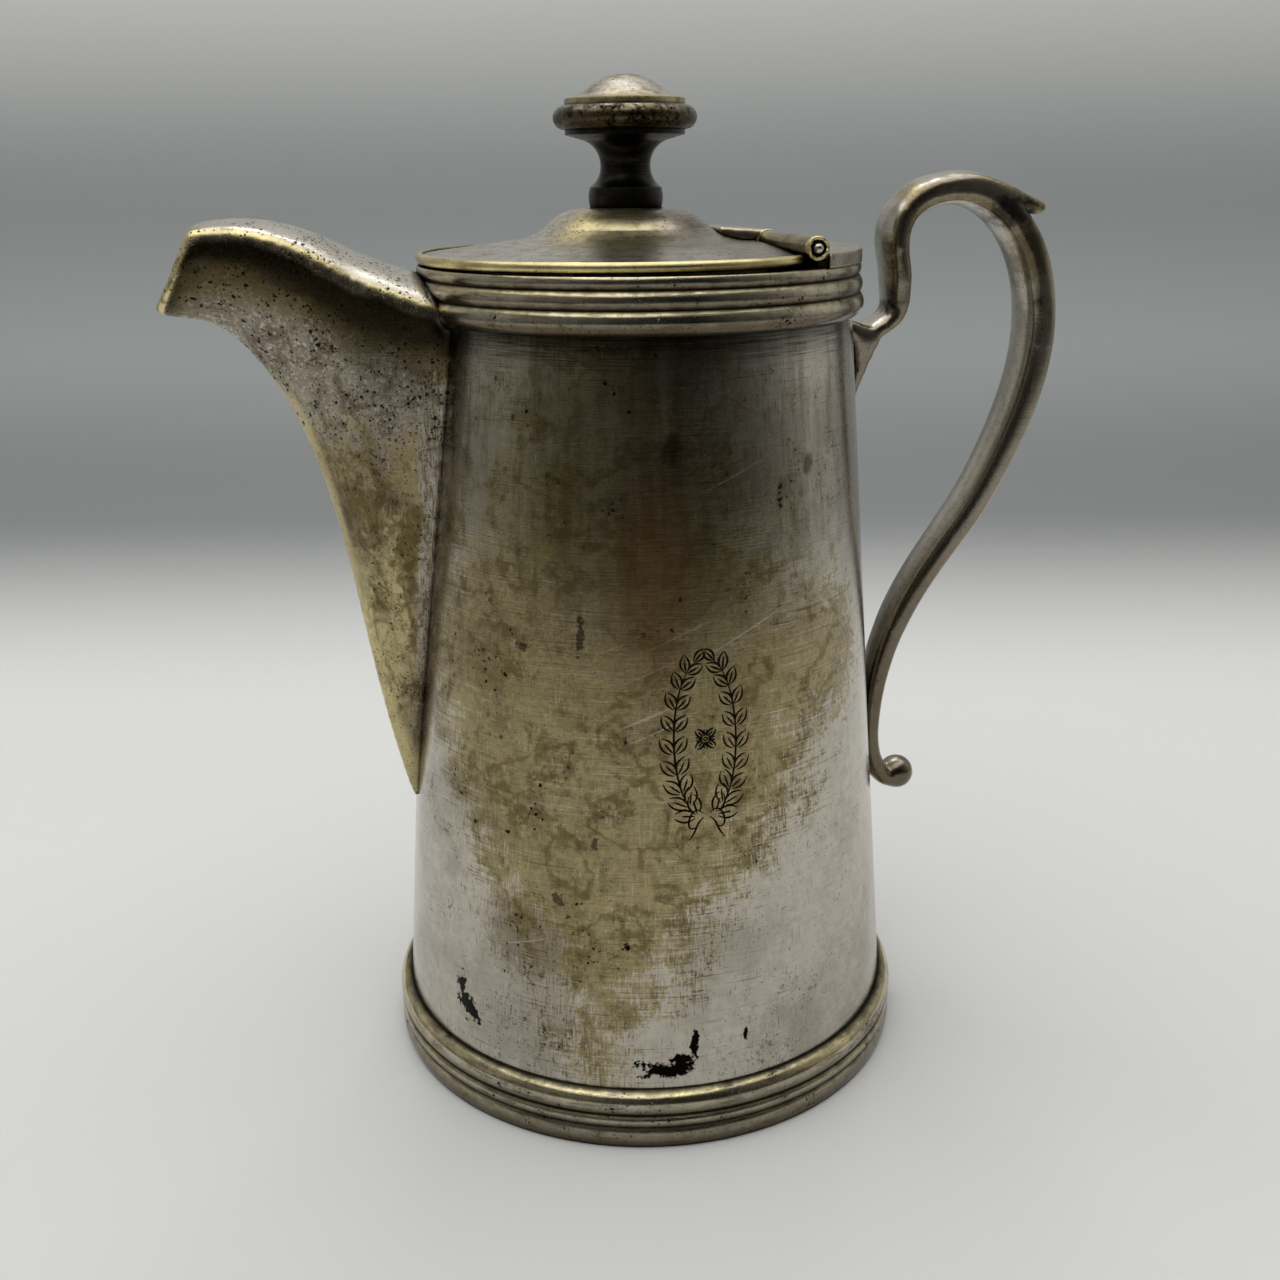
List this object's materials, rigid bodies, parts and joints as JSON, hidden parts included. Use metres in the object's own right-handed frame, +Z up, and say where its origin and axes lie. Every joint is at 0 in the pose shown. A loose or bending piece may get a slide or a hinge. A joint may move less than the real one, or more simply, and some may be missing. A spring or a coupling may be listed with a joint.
{
  "type": "coffee pot",
  "caption": "Tapered metal coffee pot with a beak spout, a scroll handle and a domed lid on a long hinge with a turned knob; it stands on a reeded foot.",
  "frame": {"origin": "centre of the foot ring, on the table", "axes": "+Z up along the pot's axis, -X towards the spout, +X towards the handle, -Y towards the engraved side"},
  "size_m": [0.1841, 0.114, 0.2039],
  "materials": {
    "wall_plate": "worn brushed silver plate over nickel silver",
    "moulding_plate": "silver plate worn to gold-coloured base metal on the crests",
    "spout_cast": "cast and plated, pitted, worn along the edges",
    "handle_cast": "cast and plated, satin, worn along the edges",
    "lid_plate": "spun and plated, satin",
    "hinge_metal": "worn plate, base metal showing",
    "pin_metal": "drawn brass, bright",
    "knob_dark": "black tarnish, low gloss",
    "knob_plate": "turned and plated, tarnished"
  },
  "bodies": {
    "pot": {"body_wall": "wall_plate", "base_plate": "wall_plate", "foot_moulding": "moulding_plate", "rim_moulding": "moulding_plate", "spout": "spout_cast", "handle": "handle_cast", "handle_upper_leaf": "handle_cast", "handle_lower_pad": "handle_cast", "hinge_plate": "lid_plate", "hinge_knuckle_near": "hinge_metal", "hinge_knuckle_far": "hinge_metal", "hinge_pin": "pin_metal"},
    "lid": {"lid_dome": "lid_plate", "lid_edge_wire": "moulding_plate", "lid_bezel": "lid_plate", "lid_knuckle": "hinge_metal", "knob_stem": "knob_dark", "knob_ring": "knob_plate", "knob_cap": "knob_plate", "knob_stud": "pin_metal", "knob_washer": "pin_metal", "knob_nut": "pin_metal"}
  },
  "joints": [
    {"name": "lid_hinge", "type": "hinge", "parent": "pot", "child": "lid", "pos_m": [0.025, 0, 0.1726], "axis": [0, 1, 0], "range_deg": [0, 100]}
  ]
}
